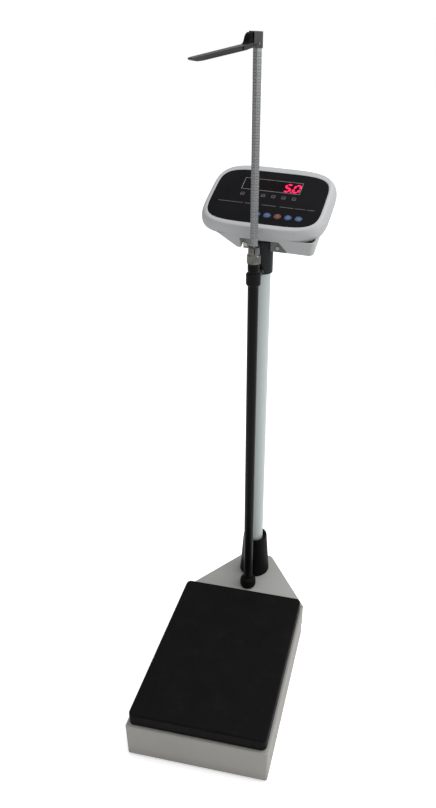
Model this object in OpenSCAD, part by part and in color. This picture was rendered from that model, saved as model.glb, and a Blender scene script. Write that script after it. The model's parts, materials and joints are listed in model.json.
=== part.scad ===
// Electronic column scale with a telescopic height rod.
// Origin: centre of the platform's footprint, on the floor. X right, Y to the rear, Z up.

/* [Platform] */
// Width of the base tray
tray_w = 300; // [280:5:340]
// Depth of the base tray
tray_d = 400; // [380:5:440]
// Height of the tray's skirt
tray_h = 87; // [85:0.5:90]
// Gap between the floor and the skirt
floor_gap = 6; // [4:0.5:8]
// Thickness of the mat and the pan together, above the tray
mat_rise = 32; // [30:0.5:34]
// Ledge of the tray that shows around the mat
ledge = 5.5; // [4:0.5:8]
// Thickness of the sheet steel
sheet = 1.5; // [1:0.1:2]

/* [Column] */
// Distance of the column's axis behind the platform's centre
column_y = 309.4; // [300:0.1:320]
// Outer radius of the pillar tube
pillar_r = 19; // [18:0.5:20]
// Top of the pillar tube
pillar_top = 941; // [930:1:942]
// Outer radius of the neck sleeve
neck_r = 23; // [22:0.5:24]
// Lower end of the neck sleeve
neck_bottom = 907; // [900:1:910]
// Upper end of the neck sleeve
neck_top = 973; // [970:1:974]
// Height of the boot round the pillar's foot
boot_h = 114; // [100:1:115]
// Width of the rear extension at its tail
tail_w = 70; // [66:1:80]
// Rear edge of the extension
tail_y = 359; // [355:1:370]

/* [Height rod] */
// Distance of the rod's axis behind the platform's centre
rod_y = 244; // [240:0.5:246]
// Offset of the rod's axis to the left
rod_x = -1.5; // [-2:0.5:0]
// Outer radius of the rod's fixed tube
rod_r = 11; // [10.8:0.1:11.2]
// Top of the rod's fixed tube
rod_top = 945; // [940:1:950]
// Width of the square ruler tube
ruler_w = 11; // [10.8:0.1:11.2]
// Top of the ruler tube, inside the head cap
ruler_top = 1336; // [1300:1:1350]
// Angle of the lever, turned towards the left
lever_turn = 31.7; // [0:0.1:60]
// Droop of the lever below level
lever_droop = 8.5; // [4:0.5:10]
// Reach of the lever from its pin
lever_reach = 138; // [120:1:150]

/* [Indicator] */
// Angle that the indicator is turned on the column
head_turn = 4.6; // [0:0.1:10]
// Slope of the front panel above level
panel_slope = 26.5; // [24:0.1:28]
// Height of the panel's centre
panel_z = 1048; // [1046:1:1050]
// Distance of the panel's centre behind the column's axis
panel_back = 33.4; // [32:0.1:35]
// Half width of the black panel
panel_hw = 115; // [112:0.5:116]
// Half height of the black panel
panel_hh = 77.5; // [75:0.5:78]
// Spacing of the keys
key_pitch = 21.2; // [20:0.1:21.5]

/* [Hidden] */
$fn = 48;
eps = 0.1;

// heights of the platform stack, from the floor up
tray_top = floor_gap + tray_h;
mat_top = tray_top + mat_rise;
mat_skin = 4.5;
mat_side = 3;
pan_top = mat_top - mat_skin;
mat_w = tray_w - 2 * ledge;
mat_d = tray_d - 2 * ledge;

// welded frame under the tray
bar = 25;
bar_wall = 2;
frame_z = 20;
frame_top = frame_z + bar;
frame_x = 118;
frame_y = 172.5;
rail_x = 24;
rail_end = 345;
cell_bar = 40;
foot_r = 5;

// load cell
cell_w = 40;
cell_h = 40;
cell_l = 150;
cell_z = 48;
cell_bolt_y = 55;
cell_gap = 0.8;
spider_z = tray_top + 2;
spider_top = pan_top - sheet;
spider_x = 112.5;
spider_y = 162.5;

// column and pedestal
flange_r = 33;
bolt_circle = 25.5;
pedestal_t = 6;
pedestal_x = 36;

// running clearance between a turning or sliding piece and its guide
run = 0.08;

// lever, in its own level frame with the pin at the origin
pin_out = 10;
pin_z = 1321;
pin_r = 1.5;
lever_w = 12;
tongue_w = 4.4;
cheek_r = 4;
cap_w = 12.8;
cap_screw_at = [-2.6, 1323.5];

// indicator housing: depths are measured behind the face
face_hw = 117.5;
face_hh = 89;
rim_hw = 129;
rim_hh = 95.5;
face_up = 3;
rim_depth = 22;
shell = 2.5;
back_depth = 53;
tilt_w = -35;
tilt_depth = 40;
tilt_y = panel_back + tilt_w * cos(panel_slope) + tilt_depth * sin(panel_slope);
tilt_z = panel_z + tilt_w * sin(panel_slope) - tilt_depth * cos(panel_slope);
window = [120, 32.5];
window_at = [-1.4, 36];
key_r = 7.2;
key_w = -51;
lamp_w = 4.5;
board_depth = 15;

// rectangle with rounded corners, centred on the origin
function rounded(w, d, r, steps = 5) = [for (q = [0:3], i = [0:steps])
    let (a = 90 * q + 90 * i / steps, sx = (q == 0 || q == 3) ? 1 : -1, sy = q < 2 ? 1 : -1)
    [sx * (w / 2 - r) + r * cos(a), sy * (d / 2 - r) + r * sin(a)]];

// full outline with bowed sides: a superellipse
function bowed(hw, hh, power, count = 48) = [for (i = [0:count - 1])
    let (a = 360 * i / count, c = cos(a), s = sin(a))
    [hw * sign(c) * pow(abs(c), 2 / power), hh * sign(s) * pow(abs(s), 2 / power)]];

module block(low, high) translate(low) cube(high - low);
module ring(outer, inner, h) difference() {
    cylinder(r = outer, h = h);
    translate([0, 0, -eps]) cylinder(r = inner, h = h + 2 * eps);
}
module at_corners(x, y) for (sx = [-1, 1], sy = [-1, 1]) translate([sx * x, sy * y, 0]) children();
module at_column() translate([0, column_y, 0]) children();
module at_rod() translate([rod_x, rod_y, 0]) children();
module turned_rod() at_rod() rotate([0, 0, -lever_turn]) children();
module at_head() at_column() rotate([0, 0, -head_turn]) children();
module on_panel() at_head() translate([0, panel_back, panel_z]) rotate([panel_slope, 0, 0]) children();
module bolt(r, length, head_r, head_h) {
    translate([0, 0, -length]) cylinder(r = r, h = length);
    cylinder(r = head_r, h = head_h, $fn = 6);
}

// ---------------------------------------------------------------- base
module frame_bars(inset) {
    for (s = [-1, 1]) {
        block([s * frame_x - bar / 2 + inset, -frame_y - bar / 2 + inset, frame_z + inset],
            [s * frame_x + bar / 2 - inset, frame_y + bar / 2 - inset, frame_top - inset]);
        block([-frame_x, s * frame_y - bar / 2 + inset, frame_z + inset],
            [frame_x, s * frame_y + bar / 2 - inset, frame_top - inset]);
        block([s * rail_x - bar / 2 + inset, frame_y, frame_z + inset],
            [s * rail_x + bar / 2 - inset, rail_end - inset, frame_top - inset]);
    }
    block([-frame_x, cell_bolt_y - cell_bar / 2 + inset, frame_z + inset],
        [frame_x, cell_bolt_y + cell_bar / 2 - inset, frame_top - inset]);
}
module base_frame() color("dimgray") {
    difference() {
        frame_bars(0);
        frame_bars(bar_wall);
        at_corners(frame_x, frame_y) translate([0, 0, frame_z - 1])
            cylinder(r = foot_r + run, h = bar + 2);
        at_corners(spider_x + 2.5, 120) translate([0, 0, frame_top - 3]) cylinder(r = 4, h = 4);
        for (y = [-10, 10]) translate([0, cell_bolt_y + y, frame_z - 1]) cylinder(r = 4.1, h = bar + 2);
    }
    // welded tabs that hold the tray
    for (s = [-1, 1], y = [-110, 0, 110])
        block([s > 0 ? frame_x + bar / 2 : -tray_w / 2 + sheet, y - 10, frame_top - 6],
            [s > 0 ? tray_w / 2 - sheet : -frame_x - bar / 2, y + 10, frame_top - 3]);
}
module column_pedestal() color("dimgray") difference() {
    block([-pedestal_x, 212, frame_top], [pedestal_x, rail_end, tray_top - sheet]);
    block([-pedestal_x + 5, 211, frame_top - 1], [pedestal_x - 5, rail_end + 1, tray_top - sheet - pedestal_t]);
    column_holes(3.3, tray_top - sheet - pedestal_t);
}
module column_holes(r, z) {
    at_column() translate([0, 0, z - 1]) {
        cylinder(r = 12, h = 20);
        bolt_ring() cylinder(r = r, h = 20);
    }
    at_rod() translate([0, 0, z - 1]) cylinder(r = r, h = 20);
}
module bolt_ring() for (a = [45:90:315]) rotate([0, 0, a]) translate([bolt_circle, 0, 0]) children();
module tray() color("gainsboro") difference() {
    translate([0, 0, floor_gap]) linear_extrude(tray_h) polygon(rounded(tray_w, tray_d, 5));
    translate([0, 0, floor_gap - 1]) linear_extrude(tray_h - sheet + 1)
        polygon(rounded(tray_w - 2 * sheet, tray_d - 2 * sheet, 3.5));
    translate([0, 0, tray_top - 5]) linear_extrude(10) polygon(rounded(tray_w - 36, tray_d - 36, 6));
    block([-44, tray_d / 2 - 5, floor_gap - 1], [44, tray_d / 2 + 5, 76]);
}
module extension_outline(inset) polygon([[-tray_w / 2 + inset, tray_d / 2 - (inset > 0 ? 5 : 0)],
    [tray_w / 2 - inset, tray_d / 2 - (inset > 0 ? 5 : 0)],
    [tray_w / 2 - inset, tray_d / 2 + 2],
    [tail_w / 2 + 4 - inset, tail_y - 5], [tail_w / 2 - 3 - inset / 2, tail_y - inset],
    [-tail_w / 2 + 3 + inset / 2, tail_y - inset], [-tail_w / 2 - 4 + inset, tail_y - 5],
    [-tray_w / 2 + inset, tray_d / 2 + 2]]);
module rear_extension() color("gainsboro") difference() {
    translate([0, 0, tray_top - 60]) linear_extrude(60) extension_outline(0);
    translate([0, 0, tray_top - 61]) linear_extrude(61 - sheet) extension_outline(sheet);
    column_holes(3.3, tray_top - 5);
}

// ---------------------------------------------------------------- feet
module foot_pad(x, y) color("black") translate([x, y, 0]) difference() {
    cylinder(r1 = 19, r2 = 16, h = 9);
    translate([0, 0, 3]) cylinder(r = foot_r, h = 7);
}
module foot_stud(x, y) color("silver") translate([x, y, 3]) difference() {
    cylinder(r = foot_r, h = 55);
    translate([-8, -0.75, 52]) cube([16, 1.5, 4]);
}
module foot_lock_nuts() color("silver") at_corners(frame_x, frame_y) translate([0, 0, frame_z - 8])
    difference() {
        cylinder(r = 9.8, h = 8, $fn = 6);
        translate([0, 0, -1]) cylinder(r = foot_r + run, h = 10);
    }

// ---------------------------------------------------------------- weighing mechanism
module load_cell() color("silver") translate([0, 0, cell_z]) difference() {
    block([-cell_w / 2, -cell_l / 2, 0], [cell_w / 2, cell_l / 2, cell_h]);
    for (y = [-14, 14]) translate([-cell_w, y, cell_h / 2]) rotate([0, 90, 0])
        cylinder(r = 13, h = 2 * cell_w);
    block([-cell_w, -14, cell_h / 2 - 1], [cell_w, 14, cell_h / 2 + 1]);
    for (y = [-10, 10]) {
        translate([0, cell_bolt_y + y, -1]) cylinder(r = 4.05, h = 26);
        translate([0, -cell_bolt_y + y, 12]) cylinder(r = 4.4, h = 30);
    }
}
module cell_base_spacer() color("gray") difference() {
    block([-cell_w / 2, cell_bolt_y - 19, frame_top], [cell_w / 2, cell_bolt_y + 19, cell_z]);
    for (y = [-10, 10]) translate([0, cell_bolt_y + y, frame_top - 1]) cylinder(r = 4.1, h = 8);
}
module cell_base_bolts() color("silver") for (y = [-10, 10])
    translate([0, cell_bolt_y + y, frame_z]) rotate([180, 0, 0]) bolt(4, 50, 7.5, 5);
module overload_stops() color("silver") at_corners(spider_x + 2.5, 120) {
    translate([0, 0, frame_top - 3]) cylinder(r = 4, h = spider_z - cell_gap - frame_top + 3);
    translate([0, 0, frame_top]) ring_nut();
}
module ring_nut() difference() {
    cylinder(r = 7.5, h = 6.5, $fn = 6);
    translate([0, 0, -1]) cylinder(r = 4, h = 9);
}
module spider_bars(inset) {
    for (s = [-1, 1]) {
        block([s * spider_x - bar / 2 + inset, -spider_y - bar / 2 + inset, spider_z + inset],
            [s * spider_x + bar / 2 - inset, spider_y + bar / 2 - inset, spider_top - inset]);
        block([-spider_x, s * spider_y - bar / 2 + inset, spider_z + inset],
            [spider_x, s * spider_y + bar / 2 - inset, spider_top - inset]);
    }
    block([-spider_x, -cell_bolt_y - cell_bar / 2 + inset, spider_z + inset],
        [spider_x, -cell_bolt_y + cell_bar / 2 - inset, spider_top - inset]);
}
module spider_frame() color("dimgray") difference() {
    union() {
        difference() {
            spider_bars(0);
            spider_bars(bar_wall);
        }
        block([-cell_w / 2, -cell_bolt_y - 19, cell_z + cell_h + cell_gap],
            [cell_w / 2, -cell_bolt_y + 19, spider_z + bar_wall]);
    }
    for (y = [-10, 10]) translate([0, -cell_bolt_y + y, cell_z + cell_h])
        cylinder(r = 4.05, h = 12);
}
module cell_top_bolts() color("silver") for (y = [-10, 10])
    translate([0, -cell_bolt_y + y, spider_z + bar_wall]) bolt(4, 35, 7.5, 5);
module platform_pan() color("gray") difference() {
    translate([0, 0, tray_top + 5]) linear_extrude(pan_top - tray_top - 5)
        polygon(rounded(mat_w - 2 * mat_side - 0.4, mat_d - 2 * mat_side - 0.4, 8));
    translate([0, 0, tray_top + 4]) linear_extrude(spider_top - tray_top - 4)
        polygon(rounded(mat_w - 2 * mat_side - 0.4 - 2 * sheet, mat_d - 2 * mat_side - 0.4 - 2 * sheet, 6.5));
}
module platform_mat() color("black") difference() {
    union() {
        translate([0, 0, tray_top + 2]) linear_extrude(mat_rise - 5) polygon(rounded(mat_w, mat_d, 11));
        translate([0, 0, mat_top - 3]) linear_extrude(1.8) polygon(rounded(mat_w - 1.6, mat_d - 1.6, 10.5));
        translate([0, 0, mat_top - 1.2]) linear_extrude(1.2) polygon(rounded(mat_w - 4.4, mat_d - 4.4, 10));
    }
    translate([0, 0, tray_top + 1]) linear_extrude(pan_top - tray_top - 1)
        polygon(rounded(mat_w - 2 * mat_side, mat_d - 2 * mat_side, 8.2));
}

// ---------------------------------------------------------------- column
module column_bolts() color("silver") {
    at_column() bolt_ring() translate([0, 0, tray_top + 6]) bolt(3, 22, 5.5, 4);
    at_rod() translate([0, 0, tray_top - sheet - pedestal_t]) rotate([180, 0, 0]) bolt(3, 18, 5.5, 4);
}
// the bolts of the base frame: under the load cell and under the column
module base_bolts() {
    cell_base_bolts();
    column_bolts();
}
module pillar_boot() color("black") at_column() translate([0, 0, tray_top])
    rotate_extrude() polygon([[37.5, 0], [29.5, boot_h - 1.5], [28.4, boot_h], [26, boot_h],
        [pillar_r + 0.6, boot_h - 6], [pillar_r + 0.6, boot_h - 13], [26.6, boot_h - 18], [34, 0]]);
module pillar_flange() color("silver") at_column() translate([0, 0, tray_top]) difference() {
    cylinder(r = flange_r, h = 6);
    translate([0, 0, -1]) cylinder(r = 12, h = 10);
    translate([0, 0, 2]) cylinder(r = pillar_r, h = 10);
    bolt_ring() translate([0, 0, -1]) cylinder(r = 3.1, h = 10);
}
module pillar_tube() color("silver") at_column() translate([0, 0, tray_top + 2])
    ring(pillar_r, pillar_r - 1.5, pillar_top - tray_top - 2);
module neck_sleeve() color("black") at_column() difference() {
    translate([0, 0, neck_bottom]) cylinder(r = neck_r, h = neck_top - neck_bottom);
    translate([0, 0, neck_bottom - 1]) cylinder(r = pillar_r + 0.05, h = pillar_top - neck_bottom + 1.3);
    translate([0, 0, pillar_top - 1]) cylinder(r = 15 + run, h = 40);
}

// route of the load cell's cable: out of the cell's fixed end, along the frame and up the pillar
cable_r = 2.5;
cable_route = [[0, 75, 70], [0, 95, 69], [2, 115, 65], [5, 135, 60], [7, 160, 57], [7, 190, 56],
    [6, 220, 56], [4, 250, 57], [2, 275, 60], [1, 292, 67], [0, 303, 78], [0, 308, 92],
    [0, column_y, 110], [0, column_y, 300], [0, column_y, 500], [0, column_y, 700], [0, column_y, 905]];
function along(i) = let (a = cable_route[max(i - 1, 0)], b = cable_route[min(i + 1, len(cable_route) - 1)])
    (b - a) / norm(b - a);
cable_ring = [for (i = [0:len(cable_route) - 1], k = [0:7])
    let (t = along(i), u = cross([1, 0, 0], t) / norm(cross([1, 0, 0], t)), v = cross(t, u))
    cable_route[i] + cable_r * (cos(45 * k) * v + sin(45 * k) * u)];
cable_last = len(cable_route) - 1;
cable_faces = concat([[for (k = [0:7]) k]], [[for (k = [7:-1:0]) 8 * cable_last + k]],
    [for (i = [0:cable_last - 1], k = [0:7])
        [8 * i + k, 8 * i + 8 + k, 8 * i + 8 + (k + 1) % 8, 8 * i + (k + 1) % 8]]);
module signal_cable() color("dimgray") polyhedron(points = cable_ring, faces = cable_faces, convexity = 6);
module cable_connector() color("black") at_column() translate([0, 0, 905]) union() {
    cylinder(r = 4, h = 6);
    translate([0, 0, 6]) cylinder(r = 7, h = 20);
    translate([0, 0, 26]) cylinder(r = 5.5, h = 8);
}

// ---------------------------------------------------------------- height rod
module rod_foot_plug() color("black") at_rod() translate([0, 0, tray_top]) difference() {
    rotate_extrude() polygon([[0, 0], [15.8, 0], [18.3, 2], [19.5, 5], [19.5, 6.5], [18.5, 7.5], [19.5, 8.5],
        [19.5, 17], [19.1, 20], [17.8, 23.2], [15.6, 25.8], [13, 27.4], [rod_r + 0.05, 28.2],
        [rod_r + 0.05, 3], [rod_r - 1.6, 3], [rod_r - 1.6, 15], [0, 15]]);
    translate([0, 0, -1]) cylinder(r = 3.05, h = 12);
}
module rod_outer_tube() color("black") at_rod() difference() {
    union() {
        translate([0, 0, tray_top + 3]) cylinder(r = rod_r, h = rod_top - tray_top - 3);
        // threaded end, drawn as rings
        for (z = [0:3]) translate([0, 0, rod_top - 15 + 4 * z]) cylinder(r = rod_r + 0.9, h = 2.4);
    }
    translate([0, 0, tray_top]) cylinder(r = rod_r - 1.5, h = rod_top);
}
module rod_clamp() color("black") at_rod() translate([0, 0, 899.5]) rotate_extrude()
    polygon([[rod_r + 0.05, 0], [12.6, 0], [14.8, 3.2], [14.8, 22.8], [12.6, 26], [rod_r + 0.05, 26]]);
arm_screws = [rod_y + 18.5, column_y - 26];
module clamp_arm() color("black") difference() {
    block([-7, rod_y + 9, 908], [7, column_y - 18, 924]);
    block([-3.5, rod_y + 22.5, 900], [3.5, column_y - neck_r - 6, 935]);
    at_rod() translate([0, 0, 895]) cylinder(r = 14.85, h = 40);
    at_column() translate([0, 0, 900]) cylinder(r = neck_r + 0.05, h = 40);
    translate([-20, arm_screws[0], 916]) rotate([0, 90, 0]) cylinder(r = 2.05, h = 40);
    translate([-20, arm_screws[1], 916]) rotate([0, 90, 0]) cylinder(r = 2.05, h = 40);
}
module clamp_screws() color("silver") for (y = arm_screws) translate([7, y, 916]) rotate([0, 90, 0]) {
    translate([0, 0, -17.5]) cylinder(r = 2, h = 17.5);
    cylinder(r = 3.6, h = 2.4);
    translate([0, 0, -17]) cylinder(r = 3.8, h = 3, $fn = 6);
}
module collet_chuck() color("silver") at_rod() translate([0, 0, rod_top]) difference() {
    cylinder(r = 11.2, h = 32);
    translate([0, 0, -1]) cylinder(r = 9.1, h = 40);
    for (a = [0, 90]) rotate([0, 0, a + 20]) translate([-15, -0.8, 20]) cube([30, 1.6, 20]);
    translate([0, 0, 30.5]) cylinder(r1 = 9.1, r2 = 10, h = 1.6);
}
module lock_nut() color("silver") at_rod() translate([0, 0, rod_top + 0.4]) difference() {
    union() {
        cylinder(r = 13.5, h = 14.5);
        translate([0, 0, 14.5]) cylinder(r1 = 13.5, r2 = 12.3, h = 2.6);
    }
    translate([0, 0, -1]) cylinder(r = 11.2 + run, h = 20);
    for (a = [0:30:330]) rotate([0, 0, a]) translate([14.1, 0, 2]) cylinder(r = 1.2, h = 11.5);
}
module guide_bush() color("black") turned_rod() translate([0, 0, rod_top - 16]) difference() {
    union() {
        cylinder(r = rod_r - 1.5 - run, h = 15);
        cylinder(r = 9.1 - run, h = 46);
    }
    block([-ruler_w / 2 - 0.3, -ruler_w / 2 - 0.3, -1], [ruler_w / 2 + 0.3, ruler_w / 2 + 0.3, 50]);
}
slider_z = 434;
module ruler_tube() color("lightgray") turned_rod() difference() {
    block([-ruler_w / 2, -ruler_w / 2, slider_z + 4], [ruler_w / 2, ruler_w / 2, ruler_top]);
    block([-ruler_w / 2 + 1.2, -ruler_w / 2 + 1.2, slider_z], [ruler_w / 2 - 1.2, ruler_w / 2 - 1.2, 1400]);
    cap_screw_hole();
}
module ruler_slider() color("black") turned_rod() translate([0, 0, slider_z]) difference() {
    cylinder(r = rod_r - 1.5 - run, h = 18);
    block([-ruler_w / 2 - 0.05, -ruler_w / 2 - 0.05, 4], [ruler_w / 2 + 0.05, ruler_w / 2 + 0.05, 20]);
}
module cap_screw_hole() translate([3, cap_screw_at[0], cap_screw_at[1]]) rotate([0, 90, 0]) cylinder(r = 1.25, h = 8);
module head_cap() color("black") turned_rod() difference() {
    union() {
        block([-cap_w / 2, -cap_w / 2, ruler_top - 20], [cap_w / 2, cap_w / 2, ruler_top + 5]);
        // fork that holds the lever's pin
        block([-cap_w / 2, -pin_out - cheek_r, pin_z], [cap_w / 2, 1 - cap_w / 2, ruler_top + 5]);
        block([-cap_w / 2, -pin_out, pin_z - cheek_r], [cap_w / 2, 1 - cap_w / 2, pin_z + 1]);
        translate([-cap_w / 2, -pin_out, pin_z]) rotate([0, 90, 0]) cylinder(r = cheek_r, h = cap_w);
    }
    block([-tongue_w / 2 - 0.3, -pin_out - 6, pin_z - 6], [tongue_w / 2 + 0.3, -cap_w / 2, ruler_top - 0.5]);
    block([-ruler_w / 2 - 0.05, -ruler_w / 2 - 0.05, ruler_top - 21],
        [ruler_w / 2 + 0.05, ruler_w / 2 + 0.05, ruler_top]);
    translate([-10, -pin_out, pin_z]) rotate([0, 90, 0]) cylinder(r = pin_r, h = 20);
    cap_screw_hole();
}
module cap_screw() color("silver") turned_rod() translate([0, cap_screw_at[0], cap_screw_at[1]]) rotate([0, 90, 0]) {
    translate([0, 0, 3.6]) cylinder(r = 1.2, h = 3);
    translate([0, 0, cap_w / 2]) cylinder(r = 2.2, h = 1);
}
module lever_pin() color("black") turned_rod() translate([-cap_w / 2 - 0.5, -pin_out, pin_z])
    rotate([0, 90, 0]) cylinder(r = pin_r, h = cap_w + 1);
// side view of the lever: X runs out along the lever and Y up, with the pin at the origin
lever_side = [[cheek_r + 0.35, -3.2], [13, -3.4], [22, -4.4], [lever_reach - 21, -4.4], [lever_reach - 9, -3.4],
    [lever_reach - 2.5, -1.5], [lever_reach, 0.6], [lever_reach - 1.5, 2], [lever_reach - 5, 2.6],
    [lever_reach - 21, 2.8], [22, 3.9], [18.6, 5.2], [16.2, 7.6], [14.6, 11], [12.6, 14.6], [9.8, 17.4],
    [6.6, 18.9], [cheek_r + 0.35, 19.2]];
module measuring_lever() color("black") turned_rod() translate([0, -pin_out, pin_z])
    rotate([lever_droop, 0, 0]) difference() {
        union() {
            translate([lever_w / 2, 0, 0]) rotate([90, 0, -90]) linear_extrude(lever_w) polygon(lever_side);
            block([-tongue_w / 2, -cheek_r - 2, -3.2], [tongue_w / 2, 0, 3.4]);
            translate([-tongue_w / 2, 0, 0]) rotate([0, 90, 0]) cylinder(r = 3.4, h = tongue_w);
        }
        translate([-20, 0, 0]) rotate([0, 90, 0]) cylinder(r = pin_r + run, h = 40);
        // hollows along both sides
        for (s = [-1, 1]) block([s > 0 ? lever_w / 2 - 2 : -lever_w / 2 - 1, -lever_reach + 26, -2.6],
            [s > 0 ? lever_w / 2 + 1 : -lever_w / 2 + 2, -27, 1.8]);
    }

// ---------------------------------------------------------------- indicator bracket
ear_left = -35.5;
ear_right = 40.5;
ear_t = 3;
wing_in = 21.4;
module ear() {
    linear_extrude(ear_t) polygon([[-8, neck_top], [32, neck_top], [32, neck_top + 6],
        [tilt_y + 8.6, tilt_z + 2.6], [tilt_y - 8.6, tilt_z + 2.6], [-8, neck_top + 6]]);
    translate([tilt_y, tilt_z, 0]) cylinder(r = 9, h = ear_t);
}
module head_bracket() color("gray") at_head() difference() {
    union() {
        block([ear_left, -8, neck_top + 0.3], [ear_right + ear_t, 32, neck_top + 3.3]);
        for (x = [[ear_left, -wing_in], [wing_in, ear_right + ear_t]])
            block([x[0], -12.6, neck_top + 0.3], [x[1], -7, neck_top + 3.3]);
        for (x = [ear_left, ear_right]) difference() {
            translate([x, 0, 0]) rotate([90, 0, 90]) ear();
            block([x - 1, -50, neck_top - 1], [x + ear_t + 1, 50, neck_top + 0.3]);
        }
        translate([0, 0, neck_top - 25]) cylinder(r = 15, h = 27);
        // front flange with the two visible screws
        translate([0, -10.5, neck_top]) rotate([90, 0, 0]) linear_extrude(2.5) {
            polygon([[ear_left, -18], [-wing_in, -18], [-wing_in, 1], [ear_left, 1]]);
            polygon([[wing_in, -18], [56, -18], [ear_right + ear_t, -2], [ear_right + ear_t, 1],
                [wing_in, 1]]);
        }
    }
    translate([0, 0, neck_top - 30]) cylinder(r = 11, h = 40);
    for (x = [-30, 36]) translate([x, -20, neck_top - 10]) rotate([-90, 0, 0]) cylinder(r = 2.05, h = 20);
    for (x = [ear_left - 1, ear_right - 1]) translate([x, tilt_y, tilt_z]) rotate([0, 90, 0])
        cylinder(r = 4, h = ear_t + 2);
}
module bracket_screws() color("silver") at_head() for (x = [-30, 36])
    translate([x, -13, neck_top - 10]) rotate([90, 0, 0]) {
        translate([0, 0, -8]) cylinder(r = 2, h = 8);
        cylinder(r = 3.6, h = 2.2);
        translate([0, 0, -5.7]) cylinder(r = 3.8, h = 3.2, $fn = 6);
    }
module tilt_bolts() color("silver") at_head() {
    translate([ear_left + ear_t, tilt_y, tilt_z]) rotate([0, -90, 0]) tilt_bolt(12);
    translate([ear_right, tilt_y, tilt_z]) rotate([0, 90, 0]) tilt_bolt(15);
}
module tilt_bolt(length) {
    cylinder(r = 4, h = length);
    translate([0, 0, -3]) cylinder(r = 7, h = 3, $fn = 6);
}

// ---------------------------------------------------------------- indicator housing
function rim_swell(t) = sqrt(1 - pow((20 - t) / 20, 2));
module face_slice(t, hw, hh, power = 4.2) translate([0, face_up, -t - 0.01]) linear_extrude(0.01)
    polygon(bowed(hw, hh, power));
module housing_top() hull() {
    for (t = [0, 1.2, 4, 9, 20]) face_slice(t, face_hw + (rim_hw - face_hw) * rim_swell(t),
        face_hh + (rim_hh - face_hh) * rim_swell(t));
    face_slice(rim_depth - 0.01, rim_hw, rim_hh);
}
module housing_top_cavity() hull() {
    face_slice(2.6, face_hw - 3, face_hh - 3);
    face_slice(10, rim_hw - 5, rim_hh - 4.6);
    face_slice(rim_depth + 1, rim_hw - shell, rim_hh - shell);
}
module at_keys() for (k = [0:4]) translate([-9.3 + key_pitch * k, key_w, 0]) children();
module at_lamps() for (k = [0:5]) translate([-55 + 21.4 * k, lamp_w, 0]) children();
case_posts = [[-112, 45], [-112, -39], [121, 45], [121, -39]];
module front_shell() color("gainsboro") on_panel() difference() {
    union() {
        difference() {
            housing_top();
            housing_top_cavity();
        }
        for (p = case_posts) translate([p.x, p.y, -rim_depth]) cylinder(r = 3.6, h = rim_depth - 2);
    }
    translate([0, 1, -1.1]) linear_extrude(3) polygon(bowed(panel_hw + 0.2, panel_hh + 0.2, 4.7));
    translate([window_at.x, window_at.y, -5]) linear_extrude(10) polygon(rounded(window.x + 4, window.y + 4, 3));
    at_keys() translate([0, 0, -5]) cylinder(r = key_r + 0.5, h = 10);
    at_lamps() translate([0, 0, -5]) cylinder(r = 2, h = 10);
    for (p = case_posts) translate([p.x, p.y, -rim_depth - 1]) cylinder(r = 1.5, h = 16);
}
module panel_overlay() color("black") on_panel() difference() {
    translate([0, 1, -1.1]) linear_extrude(0.8) polygon(bowed(panel_hw, panel_hh, 4.7));
    translate([window_at.x, window_at.y, -5]) linear_extrude(10) polygon(rounded(window.x, window.y, 2));
    at_keys() translate([0, 0, -5]) cylinder(r = key_r + 0.4, h = 10);
    at_lamps() translate([0, 0, -5]) cylinder(r = 1.8, h = 10);
}
module display_window() color("darkred") on_panel() translate([window_at.x, window_at.y, -2.5])
    linear_extrude(1.4) polygon(rounded(window.x + 3.6, window.y + 3.6, 2.8));
module led_display() color("dimgray") on_panel()
    translate([window_at.x, window_at.y, -board_depth]) block([-57, -15, 0], [57, 15, board_depth - 2.7]);
module status_lamps() color("red") on_panel() at_lamps() translate([0, 0, -board_depth])
    cylinder(r = 1.7, h = board_depth - 0.5);
module circuit_board() color("darkgreen") on_panel() union() {
    translate([0, face_up, -board_depth - 1.6]) linear_extrude(1.6) polygon(rounded(204, 140, 3));
    // key switches and the larger components
    at_keys() block([-3, -3, -board_depth], [3, 3, -board_depth + 3.6]);
    block([-90, -50, -board_depth], [-68, -28, -board_depth + 2.5]);
    block([-55, -60, -board_depth], [-35, -42, -board_depth + 2]);
    block([70, 20, -board_depth - 8], [88, 44, -board_depth - 1.6]);
}
module key(k) color(k == 2 ? "orangered" : "royalblue") on_panel() translate([-9.3 + key_pitch * k, key_w, 0]) {
    translate([0, 0, -4.6]) cylinder(r = key_r, h = 4.9);
    translate([0, 0, 0.3]) cylinder(r1 = key_r, r2 = key_r - 0.8, h = 0.6);
    translate([0, 0, -4.6]) cylinder(r = 8.8, h = 1.5);
    translate([0, 0, -10.2]) cylinder(r = 2, h = 6);
}
module key_1() key(0);
module key_2() key(1);
module key_3() key(2);
module key_4() key(3);
module key_5() key(4);

// rear shell: a lid under the rim and a deeper box, cut short on the left, with a channel for the neck
function corner(x, y, r, turn) = [for (i = [0:5]) [x + r * cos(turn + 18 * i), y + r * sin(turn + 18 * i)]];
module back_slice(depth, left, right, front, rear) translate([0, 0, -depth]) linear_extrude(0.01)
    polygon(concat(corner(right - 4, rear - 4, 4, 0), corner(left + 4, rear - 4, 4, 90),
        corner(left + 4, front + 4, 4, 180), corner(right - 10, front + 10, 10, 270)));
module back_box(inset) hull() {
    back_slice(rim_depth + 0.1 + (inset > 0 ? -2 : 0), -84 + inset, 117 - inset, -91 + inset, 82 - inset);
    back_slice(back_depth - inset, -47 + 0.6 * inset, 112 - inset, -92 + inset, 74 - inset);
}
channel_rear = -16;
module channel(grow) translate([0, channel_rear + grow, 0]) rotate([90, 0, 0]) linear_extrude(90 + grow)
    polygon([[-36 - grow, -29 + grow], [44 + grow, -29 + grow], [58 + grow, -49], [58 + grow, -60],
        [-36 - grow, -60]]);
cover_u = [67, 99];
cover_w = [-54, 34];
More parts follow.
